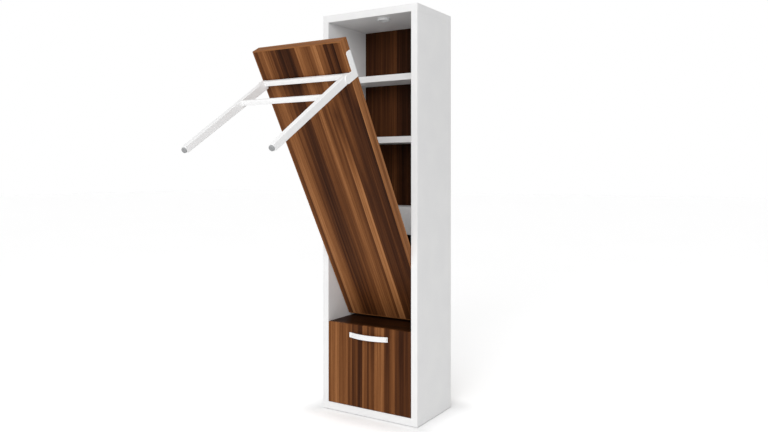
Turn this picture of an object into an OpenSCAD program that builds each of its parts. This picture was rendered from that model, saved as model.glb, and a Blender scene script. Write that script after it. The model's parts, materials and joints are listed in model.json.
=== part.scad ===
// Fold-down wall table in a tall bookcase cabinet, in millimetres.
// The origin is the centre of the cabinet's footprint on the floor. +X is to the
// right, -Y is the open front, +Y faces the wall and +Z is up.
// The model stands part open: the table leans out of the cabinet with its legs deployed.

/* [Cabinet] */
// Outside width of the cabinet
cab_w = 620; // [600:1:640]
// Depth of the cabinet, front to wall
cab_d = 395; // [385:1:410]
// Height of the cabinet above the floor
cab_h = 2250; // [2235:1:2300]
// Thickness of the two side boards
side_t = 38; // [36:1:42]
// Thickness of the top board, which lies over the side boards
top_t = 41; // [36:1:45]
// Thickness of the bottom board
bottom_t = 41; // [30:1:45]
// Thickness of the back panel
back_t = 8; // [6:1:10]
// Height of the glides that the cabinet stands on
glide_h = 3; // [2:0.5:5]

/* [Shelves and drawer] */
// Height of the top of the drawer compartment
ledge_z = 502; // [495:1:505]
// Thickness of the board over the drawer
ledge_t = 18; // [16:1:22]
// Heights of the tops of the three shelves
shelf_z = [1156, 1558, 1914]; // [1100:1:2000]
// Thickness of a shelf
shelf_t = 36; // [30:1:40]
// Distance from the cabinet's front to the front edge of a shelf
shelf_inset = 197; // [195:1:210]
// Height of the stiffening rail below the lowest shelf
rail_h = 120; // [60:1:140]
// Thickness of the drawer front and of the stiffening rail
front_t = 18; // [16:1:20]
// How far the drawer slides out
drawer_travel = 280; // [200:10:290]

/* [Table] */
// Width of the table panel
table_w = 534; // [530:1:534]
// Thickness of the table panel
table_t = 54; // [50:1:54]
// Length of the panel above its pivot
table_up = 1493; // [1450:1:1495]
// Length of the panel below its pivot
table_down = 165; // [150:1:165]
// Height of the table's pivot
pivot_z = 675; // [675:1:680]
// Distance from the cabinet's front to the pivot
pivot_inset = 139; // [135:1:142]
// How far the panel leans forward from upright
tilt = 30.4; // [5:0.1:60]

/* [Leg frame] */
// Distance along the panel from its pivot to the legs' hinge
leg_hinge_up = 1318; // [1300:1:1330]
// Distance from the panel's underside to the hinge axis
leg_hinge_drop = 32; // [32:0.5:36]
// Width of a leg at its hinge
leg_w = 42; // [40:1:50]
// Width of a leg at its foot
foot_w = 32; // [30:1:36]
// Thickness of a leg across the table
leg_t = 25; // [24:1:28]
// How far the foot leans towards the cabinet
leg_lean = 28; // [20:0.5:32]

/* [Handle] */
// Length of the bow handle
handle_l = 252; // [200:1:280]
// Height of the handle's strip
handle_h = 28; // [20:1:32]
// How far the bow stands out from the drawer front
handle_bow = 28; // [26:1:45]

/* [Hidden] */
$fn = 64;

// Colours
white = [0.95, 0.95, 0.95];
walnut = [0.43, 0.26, 0.15];
dark_walnut = [0.2, 0.12, 0.07];
steel = [0.7, 0.71, 0.72];
grey = [0.55, 0.56, 0.57];

// A solid made through another reaches this far past it
past = 1;
// Gap between faces of two bodies that move past each other
gap = 0.3;
// Radial clearance of a running pin
running = 0.05;

front_y = -cab_d / 2;
back_y = cab_d / 2;
inner_x = cab_w / 2 - side_t;
floor_z = glide_h + bottom_t;
ceiling_z = cab_h - top_t;
inside_back_y = back_y - back_t;
shelf_y = front_y + shelf_inset;
pivot_y = front_y + pivot_inset;

// Dowels that join boards to the side boards
dowel_r = 4;
dowel_l = 30;
shelf_dowel_in = 45;
ledge_dowel_in = 60;
shelf_dowel_y = [shelf_y + shelf_dowel_in, inside_back_y - shelf_dowel_in];
ledge_dowel_y = [front_y + ledge_dowel_in, inside_back_y - ledge_dowel_in];
shelf_dowel_z = [for (z = shelf_z) z - shelf_t / 2];
low_dowel_z = [glide_h + bottom_t / 2, ledge_z - ledge_t / 2];

// Screws that hold the top board down
top_screw_y = [-140, 0, 140];
top_screw_r = 3;
top_screw_head_r = 6;
top_screw_l = 70;

// Glides: one in each corner and one at the middle
glide_r = 14;
glide_stem_r = 4;
glide_stem_l = 16;
glide_in = 32;
glide_y = cab_d / 2 - glide_in;
corner_glides = [for (x = [-1, 1], y = [-1, 1]) [x * (cab_w - side_t) / 2, y * glide_y]];

// Angle brackets that fasten the cabinet to a wall
wall_bracket_x = 200;
wall_bracket_w = 32;
wall_bracket_t = 2.5;
wall_bracket_h = 40;
wall_bracket_l = 48;
wall_hole_r = 3;
wall_hole_up = 25;
wall_screw_in = 34;
wall_screw_r = 2.2;
wall_screw_l = 24;
wall_screw_head_r = 4.5;
wall_screw_head_t = 2.4;

// Pivot of the table in the side boards
pin_r = 8;
pin_in = 36;
bush_r = 11;
bush_l = 28;
bush_flange_r = 17;
bush_flange_t = 1.6;
pin_reach = 24;
housing_r = 16;
housing_l = 40;

// Rubber pegs that the closed table rests against
stop_r = 5;
stop_l = 9;
stop_z = 1700;

// Round light in the underside of the top board
light_x = 52;
light_y = front_y + 80;
light_r = 28;
light_deep = 12;
light_wall = 1.5;
bezel_r = 36;
bezel_t = 14;
bezel_chamfer = 1.5;
lens_r = 24;
lens_recess = 8;
board_t = 1.6;
led_count = 12;
led_ring_r = 16;
led_r = 1.6;
led_t = 0.8;

// Drawer box and its telescopic slides
drawer_gap = 13;
drawer_side_t = 12;
drawer_panel_t = 8;
drawer_low = floor_z + 26;
drawer_high = 440;
drawer_back_y = 160;
front_gap = 1.5;
slide_z = 150;
slide_l = drawer_travel + 20;
slide_y = front_y + front_t + 8;
slide_wall = 1.4;
slide_outer_w = 10;
slide_middle_x = [inner_x - 11.1, inner_x - 2];
slide_inner_x = [inner_x - drawer_gap, inner_x - 4.5];
slide_outer_h = 45;
slide_middle_h = 40.8;
slide_inner_h = 36.6;

// Bow handle: a strip on an arc, with a block at each end
drawer_x = inner_x - drawer_gap;
drawer_front_y = front_y + front_t;
handle_z = ledge_z - 59;
handle_foot_x = handle_l / 2 - 14;
handle_t = 5;
handle_block = [18, 8, handle_h - 4];
handle_r = (handle_l * handle_l / 4 + handle_bow * handle_bow) / (2 * handle_bow);
handle_screw_r = 2;
handle_screw_in = 5;
handle_screw_head_r = 4;
handle_screw_head_t = 2.5;

// Parts of the table panel
skin_t = 6;
edge_t = 6;
stile_w = 42;
rail_w = 60;
half_t = table_t / 2;
half_w = table_w / 2;
core_x = half_w - edge_t;
table_rails = [-table_down + edge_t, 330, 780, leg_hinge_up - 30, table_up - edge_t - rail_w];

// Brackets on the table's sides and the legs' hinge
bracket_t = 5.5;
bracket_in = 2.5;
bracket_arm_l = 114;
bracket_arm_w = 38;
bracket_edge = 2;
bracket_corner = 3;
bracket_chamfer = 8;
bracket_screw_up = [45, 70, 95];
bracket_screw_r = 2.5;
bracket_screw_in = 34;
bracket_screw_head_r = 5.5;
bracket_screw_head_t = 3;
leg_pin_r = 5;
stop_pad_t = 2;
stop_pad = [20, stop_pad_t, 18];
stop_pad_up = 11;
bracket_x = half_w - bracket_in;
leg_out_x = bracket_x - gap;
leg_in_x = leg_out_x - leg_t;
// The leg frame's hinge, in the table's own axes, and the bracket's far edge from it
hinge_y = -half_t - leg_hinge_drop;
bracket_high_y = -hinge_y + half_t - bracket_edge;
// The feet end this far above the floor when the table is level
foot_gap = 0.5;
foot_glide_t = 8;
foot_glide_r = 12;
leg_l = pivot_z + hinge_y - foot_glide_t - foot_gap;
leg_wall = 2;
leg_solid = 45;
foot_plug = [leg_t - 2 * leg_wall, 18, foot_w - 2 * leg_wall - 2];
// Each crossbar's lowest and highest corner, as [along the leg, across it]
upper_bar = [[6, -4], [26, 21]];
lower_bar = [[-190, -16.5], [-174, 7.5]];
bar_wall = 1.5;
// Side outline of a leg: flat above its hinge, and round about the hinge below it
leg_flat = leg_hinge_drop - stop_pad_t - gap;
leg_round_steps = 8;
leg_round_step = asin(leg_w / 2 / leg_flat) / leg_round_steps;
leg_round = [for (i = [0:leg_round_steps]) leg_flat * [cos(i * leg_round_step), -sin(i * leg_round_step)]];

// Local axes of the table: +Z along the panel away from the pivot, +Y towards its top face
module on_table() translate([0, pivot_y, pivot_z]) rotate([tilt, 0, 0]) children();
// Local axes of the leg frame: the legs reach along -Y
module on_legs() on_table() translate([0, hinge_y, leg_hinge_up]) children();
// A flat outline in the YZ plane, extruded from x0 to x1
module across(x0, x1) translate([x0, 0, 0]) rotate([90, 0, 90]) linear_extrude(x1 - x0) children();
// A box from its lowest to its highest corner
module box(a, b) translate(a) cube(b - a);
// A cylinder along X, from x0 to x1
module rod_x(r, x0, x1) translate([x0, 0, 0]) rotate([0, 90, 0]) cylinder(r = r, h = x1 - x0);
// The same shape on the left, made by mirroring the right
module left() mirror([1, 0, 0]) children();

// Dowels in one side board, on the right
module dowels_right() {
  for (y = shelf_dowel_y, z = shelf_dowel_z)
    translate([0, y, z]) rod_x(dowel_r, inner_x - dowel_l / 2, inner_x + dowel_l / 2);
  for (y = ledge_dowel_y, z = low_dowel_z)
    translate([0, y, z]) rod_x(dowel_r, inner_x - dowel_l / 2, inner_x + dowel_l / 2);
}
module dowels() { dowels_right(); left() dowels_right(); }

module side_board() color(white) difference() {
  box([inner_x, front_y, glide_h], [cab_w / 2, back_y, ceiling_z]);
  dowels_right();
  translate([0, pivot_y, pivot_z]) rod_x(bush_r, inner_x - past, inner_x + bush_l);
  translate([0, stop_y(), stop_z]) rod_x(stop_r, inner_x - past, inner_x + stop_l);
  for (y = top_screw_y) top_screw(y);
  for (p = corner_glides) if (p.x > 0) glide(p);
}
module side_board_right() side_board();
module side_board_left() left() side_board();

module top_board() color(white) difference() {
  box([-cab_w / 2, front_y, ceiling_z], [cab_w / 2, back_y, cab_h]);
  for (y = top_screw_y) { top_screw(y); left() top_screw(y); }
  translate([light_x, light_y, ceiling_z - past]) cylinder(r = light_r, h = light_deep + past);
  for (x = [-1, 1]) wall_bracket_screw(x);
}
module bottom_board() color(white) difference() {
  box([-inner_x, front_y, glide_h], [inner_x, back_y, floor_z]);
  dowels();
  glide([0, 0]);
}
module back_panel() color(dark_walnut)
  box([-inner_x, inside_back_y, floor_z], [inner_x, back_y, ceiling_z]);
module compartment_top() color(walnut) difference() {
  box([-inner_x, front_y + front_t + front_gap, ledge_z - ledge_t], [inner_x, inside_back_y, ledge_z]);
  dowels();
}
module shelf(z) color(white) difference() {
  box([-inner_x, shelf_y, z - shelf_t], [inner_x, inside_back_y, z]);
  dowels();
}
module shelf_lower() shelf(shelf_z[0]);
module shelf_middle() shelf(shelf_z[1]);
module shelf_upper() shelf(shelf_z[2]);
// A rail on edge below the lowest shelf, which keeps the cabinet square
module shelf_rail() color(white)
  box([-inner_x, shelf_y, shelf_z[0] - shelf_t - rail_h],
      [inner_x, shelf_y + front_t, shelf_z[0] - shelf_t]);
module shelf_dowels() color("tan") dowels();

// One countersunk screw down through the top board into the right side board
module top_screw(y) translate([inner_x + side_t / 2, y, cab_h]) {
  translate([0, 0, -top_screw_l]) cylinder(r = top_screw_r, h = top_screw_l);
  translate([0, 0, -top_screw_head_r + top_screw_r])
    cylinder(r1 = top_screw_r, r2 = top_screw_head_r, h = top_screw_head_r - top_screw_r);
}
module top_screws() color(steel) for (y = top_screw_y) { top_screw(y); left() top_screw(y); }

module glide(p) translate([p.x, p.y, 0]) {
  cylinder(r = glide_r, h = glide_h);
  cylinder(r = glide_stem_r, h = glide_h + glide_stem_l);
}
module floor_glides() color(grey) {
  for (p = corner_glides) glide(p);
  glide([0, 0]);
}

// A pan-head screw that holds a wall bracket to the top board
module wall_bracket_screw(x)
  translate([x * wall_bracket_x, back_y - wall_screw_in, cab_h + wall_bracket_t]) {
    translate([0, 0, -wall_screw_l]) cylinder(r = wall_screw_r, h = wall_screw_l);
    cylinder(r = wall_screw_head_r, h = wall_screw_head_t);
  }
module wall_bracket(x) translate([x * wall_bracket_x, 0, cab_h]) difference() {
  union() {
    box([-wall_bracket_w / 2, back_y - wall_bracket_l, 0], [wall_bracket_w / 2, back_y, wall_bracket_t]);
    box([-wall_bracket_w / 2, back_y - wall_bracket_t, 0], [wall_bracket_w / 2, back_y, wall_bracket_h]);
  }
  translate([0, back_y + past, wall_hole_up]) rotate([90, 0, 0])
    cylinder(r = wall_hole_r, h = wall_bracket_t + 2 * past);
  translate([0, back_y - wall_screw_in, -past])
    cylinder(r = wall_screw_r, h = wall_bracket_t + 2 * past);
}
module wall_brackets() color(steel) for (x = [-1, 1]) wall_bracket(x);
module wall_bracket_screws() color(steel) for (x = [-1, 1]) wall_bracket_screw(x);

// Just behind the upright panel
function stop_y() = pivot_y + half_t + stop_r + gap;
module closing_stop() translate([0, stop_y(), stop_z]) rod_x(stop_r, inner_x - stop_l, inner_x + stop_l);
module closing_stops() color(grey) { closing_stop(); left() closing_stop(); }

// A flanged blind bush in the side board, which the table's pin turns in
module pivot_bush() color("gainsboro") translate([0, pivot_y, pivot_z]) difference() {
  union() {
    rod_x(bush_r, inner_x - bush_flange_t, inner_x + bush_l);
    rod_x(bush_flange_r, inner_x - bush_flange_t, inner_x);
  }
  rod_x(pin_r + running, inner_x - bush_flange_t - past, inner_x + pin_reach + past);
}
module pivot_bush_right() pivot_bush();
module pivot_bush_left() left() pivot_bush();

module light_at(z) translate([light_x, light_y, z]) children();
module light_housing() color(steel) light_at(ceiling_z) difference() {
  cylinder(r = light_r, h = light_deep);
  translate([0, 0, -past]) cylinder(r = light_r - light_wall, h = light_deep - light_wall + past);
}
module light_board() color("ivory")
  light_at(ceiling_z + light_deep - light_wall - board_t) {
    cylinder(r = light_r - light_wall - 1, h = board_t);
    for (i = [1:led_count])
      rotate(i * 360 / led_count) translate([led_ring_r, 0, -led_t]) cylinder(r = led_r, h = led_t);
  }
module light_bezel() color(white) light_at(ceiling_z - bezel_t)
  rotate_extrude() polygon([[lens_r, 0], [bezel_r - bezel_chamfer, 0], [bezel_r, bezel_chamfer],
                            [bezel_r, bezel_t], [lens_r, bezel_t]]);
module light_lens() color("white") light_at(ceiling_z - bezel_t + lens_recess)
  cylinder(r = lens_r, h = bezel_t - lens_recess);

// A channel along Y between x0 and x1, open towards the side away from its web
module channel(x0, x1, h, web_at_high) {
  web0 = web_at_high ? x1 - slide_wall : x0;
  box([web0, slide_y, slide_z - h / 2], [web0 + slide_wall, slide_y + slide_l, slide_z + h / 2]);
  for (s = [-h / 2, h / 2 - slide_wall])
    box([x0, slide_y, slide_z + s], [x1, slide_y + slide_l, slide_z + s + slide_wall]);
}
module slide_outer() color(steel) channel(inner_x - slide_outer_w, inner_x, slide_outer_h, true);
module slide_middle() color(steel) channel(slide_middle_x[0], slide_middle_x[1], slide_middle_h, true);
module slide_inner() color(steel)
  channel(slide_inner_x[0], slide_inner_x[1], slide_inner_h, false);
module slide_outer_right() slide_outer();
module slide_outer_left() left() slide_outer();
module slide_middle_right() slide_middle();
module slide_middle_left() left() slide_middle();
module slide_inner_right() slide_inner();
module slide_inner_left() left() slide_inner();

// A screw from inside the drawer into one end of the handle
module handle_screw(x) translate([x * handle_foot_x, drawer_front_y, handle_z]) rotate([90, 0, 0]) {
  cylinder(r = handle_screw_r, h = front_t + handle_screw_in);
  translate([0, 0, -handle_screw_head_t]) cylinder(r = handle_screw_head_r, h = handle_screw_head_t);
}
module drawer_front() color(walnut) difference() {
  box([-inner_x + front_gap, front_y, floor_z + front_gap], [inner_x - front_gap, drawer_front_y, ledge_z]);
  for (x = [-1, 1]) handle_screw(x);
}
module drawer_side() color(white)
  box([drawer_x - drawer_side_t, drawer_front_y, drawer_low], [drawer_x, drawer_back_y, drawer_high]);
module drawer_side_right() drawer_side();
module drawer_side_left() left() drawer_side();
module drawer_back() color(white)
  box([-drawer_x + drawer_side_t, drawer_back_y - drawer_side_t, drawer_low],
      [drawer_x - drawer_side_t, drawer_back_y, drawer_high]);
module drawer_bottom() color(white)
  box([-drawer_x + drawer_side_t, drawer_front_y, drawer_low],
      [drawer_x - drawer_side_t, drawer_back_y - drawer_side_t, drawer_low + drawer_panel_t]);
// A strip bent to an arc, with a block at each end for its screw
module drawer_handle() color(white) difference() {
  union() {
    intersection() {
      translate([0, front_y - handle_bow + handle_r, handle_z - handle_h / 2]) difference() {
        cylinder(r = handle_r, h = handle_h, $fn = 200);
        translate([0, 0, -past]) cylinder(r = handle_r - handle_t, h = handle_h + 2 * past, $fn = 200);
      }
      box([-handle_l / 2, front_y - handle_bow - past, handle_z - handle_h / 2],
          [handle_l / 2, front_y, handle_z + handle_h / 2]);
    }
    for (x = [-1, 1]) translate([x * handle_foot_x, front_y - handle_block.y / 2, handle_z])
      cube(handle_block, center = true);
  }
  for (x = [-1, 1]) handle_screw(x);
}
module handle_screws() color(steel) for (x = [-1, 1]) handle_screw(x);

// The hollow panel's inner frame: two stiles and the rails between them
module table_core_frame() color("burlywood") on_table() difference() {
  union() {
    for (s = [-1, 1])
      translate([s * (core_x - stile_w / 2), 0, (table_up - table_down) / 2])
        cube([stile_w, table_t - 2 * skin_t, table_up + table_down - 2 * edge_t], center = true);
    for (z = table_rails)
      box([-core_x + stile_w, -half_t + skin_t, z], [core_x - stile_w, half_t - skin_t, z + rail_w]);
  }
  for (s = [0, 1]) mirror([s, 0, 0]) {
    rod_x(housing_r, half_w - housing_l, half_w + past);
    leg_bracket_screws_right();
  }
}
module table_skin(y0) box([-core_x, y0, -table_down + edge_t],
                          [core_x, y0 + skin_t, table_up - edge_t]);
module table_top_skin() color(walnut) on_table() table_skin(half_t - skin_t);
module table_under_skin() color(walnut) on_table() table_skin(-half_t);
module table_edge() color(walnut) on_table() difference() {
  box([core_x, -half_t, -table_down], [half_w, half_t, table_up]);
  rod_x(housing_r, half_w - housing_l, half_w + past);
  translate([0, hinge_y, leg_hinge_up]) across(bracket_x, half_w + past) bracket_outline();
  leg_bracket_screws_right();
}
module table_edge_right() table_edge();
module table_edge_left() left() table_edge();
module table_edge_outer() color(walnut) on_table()
  box([-core_x, -half_t, table_up - edge_t], [core_x, half_t, table_up]);
module table_edge_inner() color(walnut) on_table()
  box([-core_x, -half_t, -table_down], [core_x, half_t, -table_down + edge_t]);

// A steel cup let into the panel's side, which holds the pivot pin
module pivot_housing() color(steel) on_table() difference() {
  rod_x(housing_r, half_w - housing_l, half_w);
  rod_x(pin_r, half_w - pin_in, half_w + past);
}
module pivot_housing_right() pivot_housing();
module pivot_housing_left() left() pivot_housing();
module pivot_pin() color(steel) on_table() rod_x(pin_r, half_w - pin_in, inner_x + pin_reach);
module pivot_pin_right() pivot_pin();
module pivot_pin_left() left() pivot_pin();
module friction_washer() on_table() difference() {
  rod_x(bush_flange_r, half_w, inner_x - bush_flange_t - gap);
  rod_x(pin_r, half_w - past, inner_x);
}
module friction_washers() color("dimgray") { friction_washer(); left() friction_washer(); }

// Outline of an L-shaped bracket: an arm along the panel's side and an ear round the hinge
module bracket_outline() {
  circle(r = leg_w / 2);
  translate([0, -leg_w / 2]) square([bracket_high_y, leg_w]);
  polygon([[bracket_high_y - bracket_arm_w, 0], [bracket_high_y, 0],
           [bracket_high_y, bracket_arm_l - bracket_corner],
           [bracket_high_y - bracket_corner, bracket_arm_l],
           [bracket_high_y - bracket_arm_w + bracket_chamfer, bracket_arm_l],
           [bracket_high_y - bracket_arm_w, bracket_arm_l - bracket_chamfer]]);
}
// Screws through the right bracket's arm into the panel, in the table's own axes
module leg_bracket_screws_right()
  for (z = bracket_screw_up)
    translate([0, hinge_y + bracket_high_y - bracket_arm_w / 2, leg_hinge_up + z]) {
      rod_x(bracket_screw_r, half_w - bracket_screw_in, bracket_x + bracket_t);
      translate([bracket_x + bracket_t - bracket_screw_head_t, 0, 0]) rotate([0, 90, 0])
        cylinder(r1 = bracket_screw_r, r2 = bracket_screw_head_r, h = bracket_screw_head_t);
    }
module leg_bracket() color(white) on_table() difference() {
  translate([0, hinge_y, leg_hinge_up]) difference() {
    across(bracket_x, bracket_x + bracket_t) bracket_outline();
    rod_x(leg_pin_r + running, bracket_x - past, bracket_x + bracket_t + past);
  }
  leg_bracket_screws_right();
}
module leg_bracket_right() leg_bracket();
module leg_bracket_left() left() leg_bracket();
module leg_bracket_screws() color(white) on_table() {
  leg_bracket_screws_right();
  left() leg_bracket_screws_right();
}
// Rubber pads that the deployed legs' flat ends rest against
module leg_stop_pads() color("dimgray") on_table()
  for (s = [-1, 1])
    translate([s * (leg_in_x + leg_t / 2), -half_t - stop_pad_t / 2, leg_hinge_up + stop_pad_up])
      cube(stop_pad, center = true);

// The taper of a leg from its hinge to its foot, made smaller by inset
module leg_taper(inset)
  polygon([[0, leg_w / 2 - inset], [0, -leg_w / 2 + inset],
           [-leg_l, -leg_lean - foot_w / 2 + inset], [-leg_l, -leg_lean + foot_w / 2 - inset]]);
module leg_outline()
  polygon(concat([[-leg_l, -leg_lean + foot_w / 2], [0, leg_w / 2], [leg_flat, leg_w / 2]],
                 leg_round, [[0, -leg_w / 2], [-leg_l, -leg_lean - foot_w / 2]]));
module leg() color(white) on_legs() difference() {
  across(leg_in_x, leg_out_x) leg_outline();
  intersection() {
    across(leg_in_x + leg_wall, leg_out_x - leg_wall) leg_taper(leg_wall);
    box([leg_in_x, -leg_l - past, -leg_w * 2], [leg_out_x, -leg_solid, leg_w]);
  }
  rod_x(leg_pin_r, leg_in_x - past, leg_out_x + past);
}
module leg_right() leg();
module leg_left() left() leg();
// A square-cornered tube between the two legs
module crossbar(low, high) difference() {
  box([-leg_in_x, low.x, low.y], [leg_in_x, high.x, high.y]);
  box([-leg_in_x - past, low.x + bar_wall, low.y + bar_wall],
      [leg_in_x + past, high.x - bar_wall, high.y - bar_wall]);
}
module leg_crossbar_upper() color(white) on_legs() crossbar(upper_bar[0], upper_bar[1]);
module leg_crossbar_lower() color(white) on_legs() crossbar(lower_bar[0], lower_bar[1]);
module leg_pin() color(steel) on_legs() rod_x(leg_pin_r, leg_in_x, bracket_x + bracket_t - gap);
module leg_pin_right() leg_pin();
module leg_pin_left() left() leg_pin();
// A round glide with a plug that fits inside the leg's end
module foot_glide() on_legs() translate([leg_in_x + leg_t / 2, -leg_l, -leg_lean]) {
  rotate([90, 0, 0]) cylinder(r = foot_glide_r, h = foot_glide_t);
  translate([0, foot_plug.y / 2, 0]) cube(foot_plug, center = true);
}
module foot_glides() color(grey) { foot_glide(); left() foot_glide(); }

side_board_left();
side_board_right();
top_board();
bottom_board();
back_panel();
compartment_top();
shelf_lower();
shelf_middle();
shelf_upper();
shelf_rail();
shelf_dowels();
top_screws();
floor_glides();
wall_brackets();
wall_bracket_screws();
closing_stops();
pivot_bush_left();
pivot_bush_right();
light_housing();
light_board();
light_bezel();
light_lens();
slide_outer_left();
slide_outer_right();
slide_middle_left();
slide_middle_right();
drawer_front();
drawer_side_left();
drawer_side_right();
drawer_back();
drawer_bottom();
drawer_handle();
handle_screws();
slide_inner_left();
slide_inner_right();
table_core_frame();
table_top_skin();
table_under_skin();
table_edge_left();
table_edge_right();
table_edge_outer();
table_edge_inner();
pivot_housing_left();
pivot_housing_right();
pivot_pin_left();
pivot_pin_right();
friction_washers();
leg_bracket_left();
leg_bracket_right();
leg_bracket_screws();
leg_stop_pads();
leg_left();
leg_right();
leg_crossbar_upper();
leg_crossbar_lower();
leg_pin_left();
leg_pin_right();
foot_glides();
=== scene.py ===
"""Looks for a fold-down wall table in a tall bookcase cabinet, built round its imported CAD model.

Everything is in metres, in the model's own frame: +X to the right, -Y out of the cabinet's open
front, +Y to the wall and +Z up. The table panel leans, so much of it is worked out in the panel's
own axes: x across the panel, z along it away from its pivot, and y towards its top face.
"""

import json
import math

import bmesh
import bpy
from mathutils import Matrix, Vector


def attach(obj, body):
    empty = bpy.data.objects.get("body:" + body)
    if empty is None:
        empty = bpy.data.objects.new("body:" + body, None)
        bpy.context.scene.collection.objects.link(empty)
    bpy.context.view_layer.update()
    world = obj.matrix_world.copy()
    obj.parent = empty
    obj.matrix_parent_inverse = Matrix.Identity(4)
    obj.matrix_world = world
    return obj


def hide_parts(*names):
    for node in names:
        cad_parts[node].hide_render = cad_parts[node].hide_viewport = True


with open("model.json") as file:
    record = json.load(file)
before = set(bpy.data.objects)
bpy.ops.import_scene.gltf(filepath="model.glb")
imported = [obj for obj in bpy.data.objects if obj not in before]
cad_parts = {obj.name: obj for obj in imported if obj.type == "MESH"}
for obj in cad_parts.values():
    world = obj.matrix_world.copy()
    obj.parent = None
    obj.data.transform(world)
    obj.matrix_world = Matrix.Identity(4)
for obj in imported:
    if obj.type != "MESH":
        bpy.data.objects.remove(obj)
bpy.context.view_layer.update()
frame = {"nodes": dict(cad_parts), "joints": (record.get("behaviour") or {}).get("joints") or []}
nodes = frame["nodes"]
joints = {joint["name"]: joint for joint in frame["joints"]}

MM = 0.001
WHITE = (1.0, 1.0, 1.0, 1.0)


# ---------------------------------------------------------------- camera

# The camera is level. Its lens and sensor are in mm.
CAMERA_PLACE = (2.1429, -3.4654, 1.3482)
CAMERA_YAW = math.radians(31.98)
CAMERA_LENS = 33.2
CAMERA_SENSOR = 36.0
CAMERA_SHIFT_Y = -0.0558

camera_data = bpy.data.cameras.new("camera")
camera_data.sensor_width = CAMERA_SENSOR
camera_data.lens = CAMERA_LENS
camera_data.shift_y = CAMERA_SHIFT_Y
camera = bpy.data.objects.new("camera", camera_data)
camera.location = CAMERA_PLACE
camera.rotation_euler = (math.pi / 2, 0, CAMERA_YAW)
bpy.context.collection.objects.link(camera)
bpy.context.scene.camera = camera


# ---------------------------------------------------------------- the panel's own axes

PIVOT = Vector(joints["table_fold"]["pos_m"])
TILT = -math.radians(joints["table_fold"]["range_deg"][0])
FROM_PANEL = Matrix.Translation(PIVOT) @ Matrix.Rotation(TILT, 4, "X")
TO_PANEL = FROM_PANEL.inverted()
IDENTITY = Matrix.Identity(4)


def box_in(node, to_local=IDENTITY):
    """Lowest and highest corner of a CAD node, in local axes."""
    points = [to_local @ v.co for v in nodes[node].data.vertices]
    low = Vector([min(p[i] for p in points) for i in range(3)])
    high = Vector([max(p[i] for p in points) for i in range(3)])
    return low, high


# ---------------------------------------------------------------- shader helpers


class Shader:
    """A material and short ways to add nodes to it."""

    def __init__(self, name, roughness, specular=0.5, metallic=0.0):
        self.material = bpy.data.materials.new(name)
        self.material.use_nodes = True
        self.tree = self.material.node_tree
        self.out = self.tree.nodes["Principled BSDF"]
        self.out.inputs["Roughness"].default_value = roughness
        self.out.inputs["Specular IOR Level"].default_value = specular
        self.out.inputs["Metallic"].default_value = metallic

    def plug(self, socket, value):
        """Links a socket to another, or sets its value."""
        if isinstance(value, bpy.types.NodeSocket):
            self.tree.links.new(value, socket)
        else:
            socket.default_value = value

    def node(self, kind, values=None, **settings):
        """A node with its settings, and its inputs by name or number."""
        made = self.tree.nodes.new(kind)
        for key, value in settings.items():
            setattr(made, key, value)
        for key, value in (values or {}).items():
            self.plug(made.inputs[key], value)
        return made

    def place(self, to_local=IDENTITY):
        """The surface point in metres, in local axes."""
        point = self.node("ShaderNodeTexCoord").outputs["Object"]
        turn = to_local.to_euler()
        values = {"Vector": point, "Location": to_local.translation, "Rotation": turn}
        return self.node("ShaderNodeMapping", values).outputs["Vector"]

    def vector(self, operation, a, b=(0.0, 0.0, 0.0)):
        """One step of arithmetic on vectors, part by part."""
        return self.node("ShaderNodeVectorMath", {0: a, 1: b}, operation=operation).outputs[0]

    def noise(self, vector, scale=1.0, detail=2.0, distortion=0.0, roughness=0.5):
        """Smooth noise from 0 to 1, about 0.5 on average."""
        values = {"Vector": vector, "Scale": scale, "Detail": detail}
        values.update({"Distortion": distortion, "Roughness": roughness})
        return self.node("ShaderNodeTexNoise", values).outputs["Fac"]

    def math(self, operation, a, b=0.0):
        """One arithmetic step."""
        return self.node("ShaderNodeMath", {0: a, 1: b}, operation=operation).outputs[0]

    def spread(self, value, low, high, out_low=0.0, out_high=1.0):
        """A value moved from one range to another and held inside it."""
        values = {0: value, 1: low, 2: high, 3: out_low, 4: out_high}
        return self.node("ShaderNodeMapRange", values).outputs[0]

    def ramp(self, value, stops):
        """A colour for each value: stops are (place, colour)."""
        made = self.node("ShaderNodeValToRGB", {"Fac": value})
        ramp = made.color_ramp
        while len(ramp.elements) < len(stops):
            ramp.elements.new(1.0)
        for element, (place, colour) in zip(ramp.elements, stops):
            element.position = place
            element.color = (*colour, 1.0)
        return made.outputs["Color"]

    def mix(self, share, a, b, blend="MIX"):
        """Two colours mixed."""
        made = self.node("ShaderNodeMix", data_type="RGBA", blend_type=blend)
        self.plug(made.inputs[0], share)
        self.plug(made.inputs[6], a)
        self.plug(made.inputs[7], b)
        return made.outputs[2]

    def colour(self, value):
        """Sets the surface's colour."""
        self.plug(self.out.inputs["Base Color"], value)

    def rough(self, value):
        """Sets the surface's roughness."""
        self.plug(self.out.inputs["Roughness"], value)

    def bump(self, height, strength, distance):
        """Raises the surface where height is large, by up to distance in metres."""
        values = {"Height": height, "Strength": strength, "Distance": distance}
        made = self.node("ShaderNodeBump", values)
        self.plug(self.out.inputs["Normal"], made.outputs["Normal"])


def grey(value):
    """A colour of three equal parts."""
    return (value, value, value)


# ---------------------------------------------------------------- walnut

# Colours from the darkest tone, 0, to the lightest, 1
WALNUT_TONES = [
    (0.00, (0.0130, 0.0039, 0.0013)),
    (0.25, (0.0485, 0.0151, 0.0052)),
    (0.50, (0.1170, 0.0395, 0.0119)),
    (0.75, (0.2250, 0.0855, 0.0281)),
    (1.00, (0.3890, 0.1685, 0.0626)),
]

# The back panel's plain side, to the wall, and how deep it goes
FIBREBOARD_TONES = [(0.3, (0.17, 0.105, 0.058)), (0.7, (0.27, 0.18, 0.105))]
PLAIN_DEPTH = 1.0 * MM

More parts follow.
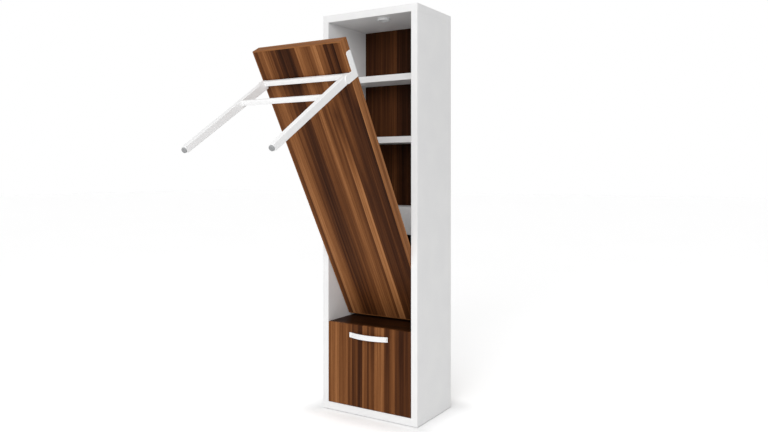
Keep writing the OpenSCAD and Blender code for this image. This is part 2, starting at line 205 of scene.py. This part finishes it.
# The grain's layers are slow changes of tone along a stave, growth rings, narrow bands and fine
# streaks: (noise per metre across the grain, and along it, detail, distortion, roughness, edge,
# change). Noise from edge to 1 - edge moves the tone by the change, down or up, where None is
# the piece's own drift: DRIFT, or BACK_DRIFT on the back panel.
GRAIN = [
    (9.0, 1.0, 2.0, 0.00, 0.5, 0.25, None),
    (42.0, 0.7, 3.0, 0.25, 0.5, 0.30, 0.15),
    (140.0, 1.4, 2.0, 0.15, 0.5, 0.30, 0.10),
    (430.0, 6.0, 3.0, 0.00, 0.6, 0.25, 0.05),
]
DRIFT = 0.12
BACK_DRIFT = 0.08
# How far the grain moves from the darkest tone of stave to the lightest, in metres
GRAIN_SHIFT = 0.9

# Open pores: short dark dashes along the grain
PORE_NOISE = (1500.0, 1500.0, 38.0)
PORE_RANGE = (0.60, 0.72)
PORE_SHARE = 0.35
PORE_COLOUR = (0.012, 0.004, 0.002, 1.0)

# Staves across the board, from its left edge: (width in mm, tone from dark to light).
# The panel's staves change twice along its length, over the stretches in PANEL_CHANGES, which
# are in metres from its pivot.
PANEL_LOWER = [
    (33, 0.47), (18, 0.95), (37, 0.85), (13, 0.67), (39, 0.41), (21, 0.16), (47, 0.26), (52, 0.45),
    (52, 0.69), (27, 0.60), (16, 0.41), (40, 0.88), (45, 0.31), (38, 0.21), (34, 0.38), (22, 0.20),
]
PANEL_MIDDLE = [
    (32, 0.52), (11, 0.66), (44, 0.78), (13, 0.65), (34, 0.56), (32, 0.38), (50, 0.30), (25, 0.71),
    (34, 0.53), (27, 0.80), (40, 0.63), (28, 0.49), (16, 0.42), (58, 0.54), (32, 0.35), (58, 0.19),
]
PANEL_UPPER = [
    (32, 0.57), (51, 0.72), (29, 0.58), (41, 0.40), (79, 0.20), (29, 0.43), (41, 0.71), (55, 0.60),
    (10, 0.70), (23, 0.84), (41, 0.58), (21, 0.22), (20, 0.38), (19, 0.18), (43, 0.52),
]
PANEL_CHANGES = [(0.66, 1.12), (1.12, 1.34)]
DRAWER_STAVES = [
    (40, 0.58), (30, 0.80), (42, 0.64), (20, 0.56), (28, 0.43), (40, 0.36), (30, 0.28), (30, 0.66),
    (50, 0.50), (62, 0.71), (8, 0.46), (30, 0.40), (32, 0.54), (10, 0.44), (74, 0.30), (14, 0.38),
]
BACK_STAVES = [
    (54, 0.28), (48, 0.34), (26, 0.44), (72, 0.40), (24, 0.48), (34, 0.30), (78, 0.20), (58, 0.30),
    (64, 0.40), (86, 0.26),
]
# Width of the blur at each side of a stave, in mm
STAVE_BLUR = 1.5
# How far the sides of the staves wander, either way, and the noise that they follow
STAVE_WANDER = 4 * MM
WANDER_NOISE = (3.0, 3.0, 2.2)


def stave_stops(staves):
    """A ramp's stops for staves that fill the width, each a little blurred at its edges."""
    width = sum(w for w, tone in staves)
    stops, done = [], 0.0
    for w, tone in staves:
        for inset in (STAVE_BLUR, w - STAVE_BLUR):
            stops.append(((done + inset) / width, grey(tone)))
        done += w
    return stops


def grain_level(made, place, base, drift):
    """A stave's tone with its grain, and the finest streaks by themselves."""
    # Each tone of stave has its own grain
    shift = made.node("ShaderNodeCombineXYZ", {0: made.math("MULTIPLY", base, GRAIN_SHIFT)}).outputs[0]
    moved = made.vector("ADD", place, shift)
    level = base
    for across, along, detail, distortion, roughness, edge, change in GRAIN:
        change = drift if change is None else change
        stretched = made.vector("MULTIPLY", moved, (across, across, along))
        streaks = made.noise(stretched, 1.0, detail, distortion, roughness)
        level = made.math("ADD", level, made.spread(streaks, edge, 1 - edge, -change, change))
    return level, streaks


def walnut_colour(made, to_grain, staves, span, tone, drift, darken):
    """Colour, fine grain and pores of walnut whose grain runs along local z."""
    place = made.place(to_grain)
    part = made.node("ShaderNodeSeparateXYZ", {0: place})
    bases = [tone]
    if staves:
        wander = made.noise(made.vector("MULTIPLY", place, WANDER_NOISE), detail=1.0)
        offset = made.spread(wander, 0.0, 1.0, -STAVE_WANDER, STAVE_WANDER)
        across = made.spread(made.math("ADD", part.outputs[0], offset), *span)
        bases = [made.ramp(across, stave_stops(row)) for row in staves]
    level, fine = grain_level(made, place, bases[0], drift)
    for base, stretch in zip(bases[1:], PANEL_CHANGES):
        changed = made.spread(part.outputs[2], *stretch)
        level = made.mix(changed, level, grain_level(made, place, base, drift)[0])
    colour = made.ramp(level, WALNUT_TONES)
    dashes = made.noise(made.vector("MULTIPLY", place, PORE_NOISE), detail=1.0)
    pore = made.spread(dashes, *PORE_RANGE)
    colour = made.mix(made.math("MULTIPLY", pore, PORE_SHARE), colour, PORE_COLOUR)
    # darken multiplies the colour down: the back panel's darker walnut, and painted shade on the ledge
    if darken != 1.0:
        colour = made.mix(1.0, colour, (*grey(darken), 1.0), "MULTIPLY")
    return colour, fine, pore


def walnut(name, to_grain, staves=(), span=(0.0, 1.0), tone=0.5, darken=1.0):
    """Oiled walnut, in staves side by side along local x or all of one tone."""
    made = Shader(name, roughness=0.48, specular=0.06)
    colour, fine, pore = walnut_colour(made, to_grain, staves, span, tone, DRIFT, darken)
    made.colour(colour)
    made.rough(made.spread(fine, 0.2, 0.8, 0.42, 0.55))
    made.bump(made.math("SUBTRACT", made.math("MULTIPLY", fine, 0.5), pore), 0.25, 0.15 * MM)
    return made.material


def back_board(name, low, high, darken):
    """Dark walnut veneer on the room's side of the back panel, and plain fibreboard on the wall's."""
    made = Shader(name, roughness=0.55, specular=0.06)
    span = (low.x, high.x)
    veneer = walnut_colour(made, IDENTITY, [BACK_STAVES], span, 0.5, BACK_DRIFT, darken)[0]
    place = made.place()
    fibres = made.noise(place, 900.0, detail=4.0, roughness=0.7)
    blotches = made.noise(place, 14.0, detail=2.0)
    level = made.math("ADD", made.math("MULTIPLY", fibres, 0.6), made.math("MULTIPLY", blotches, 0.4))
    depth = made.node("ShaderNodeSeparateXYZ", {0: place}).outputs[1]
    wall_side = made.spread(depth, high.y - PLAIN_DEPTH, high.y - PLAIN_DEPTH / 2)
    made.colour(made.mix(wall_side, veneer, made.ramp(level, FIBREBOARD_TONES)))
    made.bump(fibres, 0.15, 0.1 * MM)
    return made.material


half_panel = box_in("table_edge_right", TO_PANEL)[1].x
panel_span = (-half_panel, half_panel)
drawer_low, drawer_high = box_in("drawer_front")
drawer_span = (drawer_low.x, drawer_high.x)
# Turns x onto the grain's line, local z
GRAIN_ALONG_X = Matrix(((0, 0, 1, 0), (0, 1, 0, 0), (-1, 0, 0, 0), (0, 0, 0, 1)))

walnut_panel = walnut("walnut_panel", TO_PANEL, [PANEL_LOWER, PANEL_MIDDLE, PANEL_UPPER], panel_span)
walnut_side = walnut("walnut_side", TO_PANEL, tone=0.78)
walnut_end = walnut("walnut_end", GRAIN_ALONG_X @ TO_PANEL, tone=0.80)
walnut_drawer = walnut("walnut_drawer", IDENTITY, [DRAWER_STAVES], drawer_span)
# The ledge's walnut is multiplied by 0.40: painted shade, for the shadow beneath the panel's lower end
walnut_ledge_painted_shade = walnut("walnut_ledge_painted_shade", GRAIN_ALONG_X, tone=0.36, darken=0.40)
walnut_back = back_board("walnut_back", *box_in("back_panel"), darken=0.80)


# ---------------------------------------------------------------- paint, metal and plastic


def lacquer():
    """Satin white lacquer on board, with a faint orange peel."""
    made = Shader("white_lacquer", roughness=0.38, specular=0.42)
    place = made.place()
    cloud = made.noise(place, 7.0, detail=3.0)
    made.colour(made.ramp(cloud, [(0.3, (0.835, 0.835, 0.838)), (0.7, (0.865, 0.865, 0.862))]))
    wear = made.noise(place, 45.0, detail=3.0)
    made.rough(made.spread(wear, 0.3, 0.7, 0.34, 0.43))
    peel = made.noise(place, 320.0, detail=2.0)
    made.bump(peel, 0.12, 0.05 * MM)
    return made.material


def powder_coat():
    """White powder coat on steel: fine texture, softer gloss."""
    made = Shader("white_powder_coat", roughness=0.45, specular=0.45)
    place = made.place()
    made.colour(made.ramp(made.noise(place, 18.0), [(0.3, grey(0.865)), (0.7, grey(0.885))]))
    grain = made.noise(place, 1300.0, detail=2.0)
    made.rough(made.spread(grain, 0.3, 0.7, 0.40, 0.52))
    made.bump(grain, 0.12, 0.05 * MM)
    return made.material


# How dark the lines on steel are, as a share of its colour
LINE_TONE = 0.82


def metal(name, colour, stretch, roughness=0.32, metallic=1.0):
    """Bare or satin-coated steel with fine lines: stretch is their noise per metre on each axis."""
    made = Shader(name, roughness, metallic=metallic)
    stretched = made.vector("MULTIPLY", made.place(), stretch)
    lines = made.noise(stretched, detail=3.0, roughness=0.65)
    dark = tuple(LINE_TONE * part for part in colour)
    made.colour(made.ramp(lines, [(0.3, dark), (0.7, colour)]))
    made.rough(made.spread(lines, 0.25, 0.75, roughness - 0.07, roughness + 0.09))
    made.bump(lines, 0.2, 0.04 * MM)
    return made.material


def moulded(name, dark, light, roughness):
    """Moulded plastic or rubber with a spark-eroded surface."""
    made = Shader(name, roughness, specular=0.4)
    place = made.place()
    made.colour(made.ramp(made.noise(place, 60.0, detail=4.0), [(0.3, dark), (0.7, light)]))
    grain = made.noise(place, 700.0, detail=2.0)
    made.rough(made.spread(grain, 0.3, 0.7, roughness - 0.06, roughness + 0.08))
    made.bump(grain, 0.3, 0.08 * MM)
    return made.material


# Noise per metre on each axis, for the growth rings and the fibres of bare wood
RING_NOISE = (60.0, 60.0, 1.5)
FIBRE_NOISE = (700.0, 700.0, 20.0)


def bare_wood(name, dark, light, to_grain):
    """Pale unfinished wood with its grain along local z."""
    made = Shader(name, roughness=0.65, specular=0.25)
    place = made.place(to_grain)
    wide, narrow = [made.vector("MULTIPLY", place, stretch) for stretch in (RING_NOISE, FIBRE_NOISE)]
    rings = made.noise(wide, detail=3.0, distortion=0.4)
    fine = made.noise(narrow, detail=2.0)
    level = made.math("ADD", made.math("MULTIPLY", rings, 0.7), made.math("MULTIPLY", fine, 0.3))
    made.colour(made.ramp(level, [(0.3, dark), (0.7, light)]))
    made.bump(fine, 0.3, 0.1 * MM)
    return made.material


def lens_plastic():
    """Frosted plastic with a soft gloss."""
    made = Shader("light_lens", roughness=0.28, specular=0.5)
    cloud = made.noise(made.place(), 90.0, detail=2.0)
    made.colour(made.ramp(cloud, [(0.3, (0.40, 0.41, 0.41)), (0.7, (0.50, 0.51, 0.50))]))
    made.out.inputs["Coat Weight"].default_value = 0.4
    made.out.inputs["Coat Roughness"].default_value = 0.12
    return made.material


white_lacquer = lacquer()
white_steel = powder_coat()
zinc = metal("zinc_steel", (0.66, 0.68, 0.70), (1400.0, 9.0, 1400.0))
turned_steel = metal("turned_steel", (0.60, 0.61, 0.63), (30.0, 1600.0, 1600.0), roughness=0.26)
satin_steel = metal("satin_steel", (0.93, 0.94, 0.95), (500.0, 500.0, 60.0), 0.46, metallic=0.35)
rubber = moulded("black_rubber", grey(0.018), grey(0.030), 0.62)
grey_plastic = moulded("grey_plastic", (0.27, 0.275, 0.28), (0.35, 0.355, 0.36), 0.48)
nylon = moulded("nylon", (0.70, 0.70, 0.67), (0.78, 0.78, 0.75), 0.42)
circuit_white = moulded("circuit_white", (0.66, 0.64, 0.55), (0.74, 0.72, 0.64), 0.35)
pine = bare_wood("pine", (0.46, 0.29, 0.14), (0.63, 0.44, 0.25), TO_PANEL)
beech = bare_wood("beech", (0.47, 0.29, 0.16), (0.58, 0.39, 0.23), GRAIN_ALONG_X)
lens = lens_plastic()


# ---------------------------------------------------------------- the CAD nodes' materials and edges

# Edges that turn by more than this are rounded
ROUNDED_ANGLE = math.radians(40)
# Points this close are one, and faces that turn by less than this are one
SAME_PLACE = 0.01 * MM
SAME_FACE = math.radians(0.5)


def round_edges(thing, edge, segments=3):
    """Rounds a piece's edges to a radius of edge."""
    bevel = thing.modifiers.new("bevel", "BEVEL")
    bevel.width = edge
    bevel.segments = segments
    bevel.limit_method = "ANGLE"
    bevel.angle_limit = ROUNDED_ANGLE
    bevel.use_clamp_overlap = False
    bevel.loop_slide = False
    smooth = thing.modifiers.new("normals", "WEIGHTED_NORMAL")
    smooth.keep_sharp = True


def finish_node(name, material, edge):
    """Gives a CAD node its material and rounds its edges."""
    thing = nodes[name]
    thing.data.materials.clear()
    thing.data.materials.append(material)
    if edge:
        weld = thing.modifiers.new("weld", "WELD")
        weld.merge_threshold = SAME_PLACE
        # Flat faces in one piece, so that the rounding leaves no creases across them
        flat = thing.modifiers.new("flat", "DECIMATE")
        flat.decimate_type = "DISSOLVE"
        flat.angle_limit = SAME_FACE
        round_edges(thing, edge)


def sides(stem):
    """The names of a left and a right piece."""
    return [f"{stem}_left", f"{stem}_right"]


# (material, radius of the rounded edges, CAD nodes)
FINISHES = [
    (white_lacquer, 0.9 * MM, sides("side_board") + ["top_board", "bottom_board"]),
    (white_lacquer, 0.9 * MM, ["shelf_lower", "shelf_middle", "shelf_upper", "shelf_rail"]),
    (white_lacquer, 0.6 * MM, sides("drawer_side") + ["drawer_back", "drawer_bottom"]),
    (walnut_back, 0.0, ["back_panel"]),
    (walnut_ledge_painted_shade, 0.6 * MM, ["compartment_top"]),
    (walnut_drawer, 0.8 * MM, ["drawer_front"]),
    (walnut_panel, 0.0, ["table_top_skin", "table_under_skin"]),
    (walnut_side, 0.8 * MM, sides("table_edge")),
    (walnut_end, 0.8 * MM, ["table_edge_outer", "table_edge_inner"]),
    (white_steel, 1.0 * MM, sides("leg_bracket") + ["drawer_handle"]),
    (white_steel, 0.5 * MM, sides("leg_pin")),
    (white_steel, 0.0, ["light_housing"]),
    (zinc, 0.3 * MM, sides("slide_outer") + sides("slide_middle") + sides("slide_inner")),
    (zinc, 0.4 * MM, ["wall_brackets"]),
    (turned_steel, 0.4 * MM, sides("pivot_housing") + sides("pivot_pin")),
    (nylon, 0.3 * MM, sides("pivot_bush")),
    (rubber, 0.0, ["friction_washers", "closing_stops"]),
    (rubber, 0.4 * MM, ["leg_stop_pads"]),
    (grey_plastic, 0.8 * MM, ["floor_glides"]),
    (circuit_white, 0.0, ["light_board"]),
    (pine, 0.0, ["table_core_frame"]),
    (beech, 0.0, ["shelf_dowels"]),
]
for material, edge, names in FINISHES:
    for node_name in names:
        finish_node(node_name, material, edge)


# ---------------------------------------------------------------- mesh helpers

# Edges that turn by more than this stay sharp
SHARP = math.radians(35)
TURN = 2 * math.pi


def build(name, parts, material, body, replaced, to_row=IDENTITY, edge=0.0):
    """A piece made of (points, faces) parts in local axes, in place of CAD nodes."""
    points, faces = [], []
    for part_points, part_faces in parts:
        first = len(points)
        points += [to_row @ Vector(p) for p in part_points]
        faces += [[first + i for i in face] for face in part_faces]
    mesh = bpy.data.meshes.new(name)
    mesh.from_pydata(points, [], faces)
    shape = bmesh.new()
    shape.from_mesh(mesh)
    bmesh.ops.recalc_face_normals(shape, faces=shape.faces)
    for face in shape.faces:
        face.smooth = True
    for rim in shape.edges:
        rim.smooth = rim.calc_face_angle(0.0) < SHARP
    shape.to_mesh(mesh)
    shape.free()
    mesh.materials.append(material)
    thing = bpy.data.objects.new(name, mesh)
    bpy.context.collection.objects.link(thing)
    if edge:
        round_edges(thing, edge, segments=4)
    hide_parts(*replaced)
    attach(thing, body)


def loft(rings, hollow=False):
    """A closed skin over rings of equally many points. If hollow, its ends are joined, not capped."""
    count = len(rings[0])
    points = [p for ring in rings for p in ring]
    faces = [] if hollow else [list(range(count)), [len(points) - 1 - i for i in range(count)]]
    for row in range(len(rings) if hollow else len(rings) - 1):
        below, above = row * count, (row + 1) % len(rings) * count
        for i in range(count):
            after = (i + 1) % count
            faces.append([below + i, below + after, above + after, above + i])
    return points, faces


def turned(profile, place, axis, count=48, hollow=False):
    """A shape turned about a line: profile is (radius, distance along the line)."""
    turn = Vector(axis).to_track_quat("Z", "Y").to_matrix()
    rings = []
    for radius, along in profile:
        ring = [(radius * math.cos(i * TURN / count), radius * math.sin(i * TURN / count), along)
                for i in range(count)]
        rings.append([Vector(place) + turn @ Vector(p) for p in ring])
    return loft(rings, hollow)


def arc(centre, radius, start, end, steps=5):
    """Points on an arc in a plane, with angles in degrees."""
    angles = [math.radians(start + (end - start) * i / steps) for i in range(steps + 1)]
    return [(centre[0] + radius * math.cos(a), centre[1] + radius * math.sin(a)) for a in angles]


def islands(node, to_local=IDENTITY):
    """Box of each separate solid in a CAD node, in local axes."""
    shape = bmesh.new()
    shape.from_mesh(nodes[node].data)
    bmesh.ops.remove_doubles(shape, verts=shape.verts, dist=SAME_PLACE)
    left, found = set(shape.verts), []
    while left:
        group, to_visit = [], [left.pop()]
        while to_visit:
            point = to_visit.pop()
            group.append(to_local @ point.co)
            for link in point.link_edges:
                other = link.other_vert(point)
                if other in left:
                    left.remove(other)
                    to_visit.append(other)
        found.append([Vector([pick(p[i] for p in group) for i in range(3)]) for pick in (min, max)])
    shape.free()
    return sorted(found, key=lambda box: tuple(round(c, 4) for c in box[0]))


# ---------------------------------------------------------------- leg frame

HINGE = TO_PANEL @ Vector(joints["leg_fold"]["pos_m"])
FROM_LEGS = FROM_PANEL @ Matrix.Translation(HINGE)
TO_LEGS = FROM_LEGS.inverted()
# Radius of the tubes' corners
TUBE_EDGE = 2.6 * MM
# A leg's outline leaves out the points of its pin's hole, which lie this near the hinge
PIN_CLEAR = 7 * MM
# A leg's inner face stands out by this, so that it covers the pin's end
PIN_COVER = 0.2 * MM
# Points this near to a leg's outer face belong to its outline
FACE_DEPTH = 0.1 * MM
# Size of the weld's fillet, and the angles of its outline in degrees
WELD = 2.2 * MM
WELD_ANGLES = range(0, 91, 15)
# A foot cap's rounded rim, how much its face still rises to the middle, and the middle's radius
CAP_EDGE = 2.4 * MM
CAP_RISE = 0.1 * MM
CAP_MIDDLE = 0.5 * MM
# The cap's plug in the tube: its length, and its radius as a share of the cap's
PLUG_LENGTH = 4 * MM
PLUG_SHARE = 0.5


def leg_outline(node):
    """The side outline of a leg, as (y, z) in the leg frame's own axes."""
    low, high = box_in(node, TO_LEGS)
    face = high.x if high.x > 0 else low.x
    points = set()
    for v in nodes[node].data.vertices:
        p = TO_LEGS @ v.co
        if abs(p.x - face) < FACE_DEPTH and math.hypot(p.y, p.z) > PIN_CLEAR:
            points.add((round(p.y, 6), round(p.z, 6)))
    middle = (low + high) / 2
    return sorted(points, key=lambda p: math.atan2(p[1] - middle.z, p[0] - middle.y))


def leg(side):
    """A tapered steel tube with rounded corners, whose inner face covers its hinge pin's end."""
    node = f"leg_{side}"
    low, high = box_in(node, TO_LEGS)
    left, right = low.x, high.x
    if side == "left":
        right += PIN_COVER
    else:
        left -= PIN_COVER
    rings = [[(x, y, z) for y, z in leg_outline(node)] for x in (left, right)]
    build(f"tapered_leg_{side}", [loft(rings)], white_steel, "leg_frame",
          [node], FROM_LEGS, TUBE_EDGE)


def rounded_rectangle(low, high, radius):
    """Points round a rectangle in the (y, z) plane, with rounded corners."""
    corners = [(high.y, high.z), (low.y, high.z), (low.y, low.z), (high.y, low.z)]
    points = []
    for i, (y, z) in enumerate(corners):
        centre = (y + radius * (-1 if y == high.y else 1), z + radius * (-1 if z == high.z else 1))
        points += arc(centre, radius, i * 90, i * 90 + 90, steps=4)
    return points


def crossbar(which, flush_top):
    """A tube welded between the legs, with a small fillet of weld at each end."""
    node = f"leg_crossbar_{which}"
    low, high = box_in(node, TO_LEGS)
    ends = []
    for angle in WELD_ANGLES:
        inward = WELD * (1 - math.cos(math.radians(angle)))
        grow = WELD * (1 - math.sin(math.radians(angle)))
        spread = Vector((0, grow, grow))
        top = high + Vector((0, grow, 0 if flush_top else grow))
        ends.append((inward, rounded_rectangle(low - spread, top, TUBE_EDGE)))
    rings = [[(low.x + inward, y, z) for y, z in ring] for inward, ring in ends]
    rings += [[(high.x - inward, y, z) for y, z in ring] for inward, ring in reversed(ends)]
    build(f"crossbar_{which}", [loft(rings)], white_steel, "leg_frame",
          [node], FROM_LEGS)


def foot_caps():
    """A round plastic glide in the end of each leg, with a rounded rim."""
    parts = []
    legs_end = box_in("leg_right", TO_LEGS)[0].y
    for low, high in islands("foot_glides", TO_LEGS):
        radius, height = (high.z - low.z) / 2, legs_end - low.y
        plug = radius * PLUG_SHARE
        profile = [(plug, -PLUG_LENGTH), (plug, 0.0), (radius, 0.0)]
        profile += arc((radius - CAP_EDGE, height - CAP_EDGE), CAP_EDGE, 0, 80)
        profile += [(plug, height - CAP_RISE), (CAP_MIDDLE, height)]
        place = ((low.x + high.x) / 2, legs_end, (low.z + high.z) / 2)
        parts.append(turned(profile, place, (0, -1, 0)))
    build("foot_caps", parts, grey_plastic, "leg_frame", ["foot_glides"], FROM_LEGS)


for side in ("left", "right"):
    leg(side)
crossbar("upper", flush_top=True)
crossbar("lower", flush_top=False)
foot_caps()


# ---------------------------------------------------------------- light and screws

# Steps round the light's ring and cover
LIGHT_STEPS = 72
# The ring's outer rim is rounded by a share of its depth, and its inner rim by a radius
OUTER_RIM_SHARE = 0.30
INNER_RIM = 1.2 * MM
# The bevel between the ring's back and its opening
BEVEL_WIDTH = 0.5 * MM
BEVEL_HEIGHT = 0.4 * MM
# The cover's straight rim, how far it stands out past that, and the radius of its flat middle
COVER_RIM = 0.8 * MM
COVER_CROWN = 1.2 * MM
COVER_MIDDLE = 0.3 * MM


def light():
    """A satin ring with rolled rims, round a slightly domed, frosted cover."""
    low, high = box_in("light_bezel")
    middle = (low + high) / 2
    face, down = (middle.x, middle.y, high.z), (0, 0, -1)
    outer, depth = (high.x - low.x) / 2, high.z - low.z
    inner = box_in("light_lens")[1].x - middle.x
    rim = depth * OUTER_RIM_SHARE
    ring = [(inner + BEVEL_WIDTH, 0.0), (outer, 0.0), (outer, depth - rim)]
    ring += arc((outer - rim, depth - rim), rim, 0, 90, steps=6)
    ring += arc((inner + INNER_RIM, depth - INNER_RIM), INNER_RIM, 90, 180, steps=4)
    ring += [(inner, BEVEL_HEIGHT)]
    build("light_ring", [turned(ring, face, down, LIGHT_STEPS, hollow=True)], satin_steel, "cabinet",
          ["light_bezel"])
    dome = [(COVER_MIDDLE, 0.0), (inner, 0.0)]
    for angle in range(0, 90, 10):
        a = math.radians(angle)
        dome.append((inner * math.cos(a), COVER_RIM + COVER_CROWN * math.sin(a)))
    dome += [(COVER_MIDDLE, COVER_RIM + COVER_CROWN)]
    build("light_cover", [turned(dome, face, down, LIGHT_STEPS)], lens, "cabinet",
          ["light_lens"])


# Steps round a screw, a multiple of the socket's six corners
HEX_STEPS = 36
# The socket's reach to its corners and its depth, as shares of the head's radius and height
SOCKET_REACH = 0.5
SOCKET_DEPTH = 0.6
# A screw's tip, as a share of the shaft's radius: how wide it ends, and how long it is
TIP_WIDTH = 0.4
TIP_LENGTH = 1.5
# Edge of a countersunk head
HEAD_EDGE = 0.2 * MM
# A domed head's outline, as shares of its radius and height at each angle in radians
DOME_FLAT, DOME_ROUND = 0.62, 0.38
DOME_WALL, DOME_RISE = 0.35, 0.65
DOME_ANGLES = (0, 0.4, 0.8, 1.2, 1.57)


def hexagon_reach(angle, reach):
    """Distance from the middle of a hexagonal socket to its wall."""
    return reach * math.cos(math.pi / 6) / math.cos(angle % (math.pi / 3) - math.pi / 6)


def screw(tail, axis, length, head_r, head_h, shaft_r, flush):
    """A screw with a hexagonal socket, countersunk if flush and otherwise with a domed head."""
    turn = Vector(axis).to_track_quat("Z", "Y").to_matrix()
    neck = length - head_h
    profile = [(shaft_r * TIP_WIDTH, 0.0), (shaft_r, shaft_r * TIP_LENGTH), (shaft_r, neck)]
    if flush:
        profile += [(head_r, length - HEAD_EDGE), (head_r - HEAD_EDGE, length)]
    else:
        profile += [(head_r, neck)]
        for a in DOME_ANGLES:
            rise = DOME_WALL + DOME_RISE * math.sin(a)
            profile.append((head_r * (DOME_FLAT + DOME_ROUND * math.cos(a)), neck + head_h * rise))
    angles = [i * TURN / HEX_STEPS for i in range(HEX_STEPS)]
    rings = []
    for radius, along in profile:
        rings.append([(radius * math.cos(a), radius * math.sin(a), along) for a in angles])
    walls = [(a, hexagon_reach(a, head_r * SOCKET_REACH)) for a in angles]
    for depth in (0.0, head_h * SOCKET_DEPTH):
        rings.append([(r * math.cos(a), r * math.sin(a), length - depth) for a, r in walls])
    return loft([[Vector(tail) + turn @ Vector(p) for p in ring] for ring in rings])


def screws(name, node, body, material, axis_index, head_h, shaft_share, flush,
           to_row=IDENTITY, outward=False):
    """Socket screws in place of a CAD node's plain ones. Their heads lie at the high end of one
    local axis, or on the outer side if outward."""
    parts = []
    for low, high in islands(node, to_row.inverted()):
        middle = (low + high) / 2
        way = -1 if outward and middle.x <= 0 else 1
        axis = Vector((0, 0, 0))
        axis[axis_index] = way
        tail = middle.copy()
        tail[axis_index] = low[axis_index] if way > 0 else high[axis_index]
        length = high[axis_index] - low[axis_index]
        head_r = (high - low)[(axis_index + 1) % 3] / 2
        parts.append(screw(tail, axis, length, head_r, head_h, head_r * shaft_share, flush))
    build(name, parts, material, body, [node], to_row)


light()
screws("bracket_socket_screws", "leg_bracket_screws", "table", white_steel,
       axis_index=0, head_h=3 * MM, shaft_share=0.45, flush=True, to_row=FROM_PANEL, outward=True)
screws("top_socket_screws", "top_screws", "cabinet", turned_steel,
       axis_index=2, head_h=3 * MM, shaft_share=0.5, flush=True)
screws("wall_bracket_pan_screws", "wall_bracket_screws", "cabinet", turned_steel,
       axis_index=2, head_h=2.4 * MM, shaft_share=0.48, flush=False)
screws("handle_pan_screws", "handle_screws", "drawer", turned_steel,
       axis_index=1, head_h=2.5 * MM, shaft_share=0.5, flush=False)


# ---------------------------------------------------------------- floor and light

FLOOR_HALF = 40.0
# How strongly the floor glows far from the cabinet and beside it, and how far that change reaches. The
# weaker glow beside the cabinet is painted shade round its base.
FLOOR_GLOW = 0.40
NEAR_GLOW = 0.10
SHADE_REACH = 0.16
# Distance over which the glow beside the cabinet starts, from none at the cabinet's edge: painted
# shade along its base
CONTACT_WIDTH = 2 * MM
# The share of the floor's glow that lights the object
FLOOR_SHARE = 0.36
# Half of the cabinet's width and depth
FOOTPRINT = (*box_in("side_board_right")[1].xy, 0.0)
# How strongly the white background lights the object, where 1 is how it looks
SKY_LIGHT = 0.40
# The soft box: where it stands and what it points at, its power in watts and its diameter
KEY_PLACE, KEY_AIM = Vector((1.60, -4.0, 3.1)), Vector((0.0, -0.2, 1.2))
KEY_POWER, KEY_SIZE = 62.0, 3.2
# Far lights: (name, direction it comes from, strength, angle in degrees)
LIGHTS = [
    ("fill", (0.36, -0.86, 0.36), 0.76, 36),
    ("top", (0.00, -0.42, 0.90), 0.52, 60),
]


def floor():
    """A pale floor that goes off into the white background, with painted shade round the cabinet's
    base.
    """
    mesh = bpy.data.meshes.new("floor")
    corners = [(-1, -1), (1, -1), (1, 1), (-1, 1)]
    mesh.from_pydata([(x * FLOOR_HALF, y * FLOOR_HALF, 0.0) for x, y in corners], [], [(0, 1, 2, 3)])
    made = Shader("floor", roughness=0.9, specular=0.1)
    cloud = made.noise(made.place(), 0.7)
    made.colour(made.ramp(cloud, [(0.3, grey(0.93)), (0.7, grey(0.95))]))
    made.out.inputs["Emission Color"].default_value = WHITE
    # The floor glows, less so beside the cabinet and not at all under it: the weaker glow beside the
    # cabinet is painted shade
    past = made.vector("SUBTRACT", made.vector("ABSOLUTE", made.place()), FOOTPRINT)
    past = made.vector("MAXIMUM", past)
    away = made.node("ShaderNodeVectorMath", {0: past}, operation="LENGTH").outputs["Value"]
    close = made.spread(away, 0.0, CONTACT_WIDTH, 0.0, NEAR_GLOW)
    far = made.spread(away, 0.0, SHADE_REACH, 0.0, FLOOR_GLOW - NEAR_GLOW)
    glow = made.math("ADD", close, far)
    # It lights the object less than it looks
    seen = made.node("ShaderNodeLightPath").outputs["Is Camera Ray"]
    share = made.spread(seen, 0.0, 1.0, FLOOR_SHARE, 1.0)
    made.plug(made.out.inputs["Emission Strength"], made.math("MULTIPLY", glow, share))
    mesh.materials.append(made.material)
    thing = bpy.data.objects.new("floor", mesh)
    bpy.context.collection.objects.link(thing)


def sky():
    """A white background, dimmer as a light than it looks."""
    world = bpy.data.worlds.new("studio")
    bpy.context.scene.world = world
    world.use_nodes = True
    tree = world.node_tree
    background = tree.nodes["Background"]
    background.inputs["Color"].default_value = WHITE
    path = tree.nodes.new("ShaderNodeLightPath")
    strength = tree.nodes.new("ShaderNodeMapRange")
    strength.inputs["To Min"].default_value = SKY_LIGHT
    strength.inputs["To Max"].default_value = 1.0
    tree.links.new(path.outputs["Is Camera Ray"], strength.inputs["Value"])
    tree.links.new(strength.outputs[0], background.inputs["Strength"])


def key_light():
    """A round soft box, high in front and to the right, near enough to light the top more."""
    data = bpy.data.lights.new("key", "AREA")
    data.shape = "DISK"
    data.size = KEY_SIZE
    data.energy = KEY_POWER
    thing = bpy.data.objects.new("key", data)
    thing.location = KEY_PLACE
    thing.rotation_euler = (KEY_PLACE - KEY_AIM).to_track_quat("Z", "Y").to_euler()
    bpy.context.collection.objects.link(thing)


def soft_light(name, comes_from, strength, angle):
    """A large soft light, far away."""
    data = bpy.data.lights.new(name, "SUN")
    data.energy = strength
    data.angle = math.radians(angle)
    thing = bpy.data.objects.new(name, data)
    thing.rotation_euler = Vector(comes_from).to_track_quat("Z", "Y").to_euler()
    bpy.context.collection.objects.link(thing)


floor()
sky()
key_light()
for light_values in LIGHTS:
    soft_light(*light_values)
bpy.context.scene.view_settings.view_transform = "Standard"
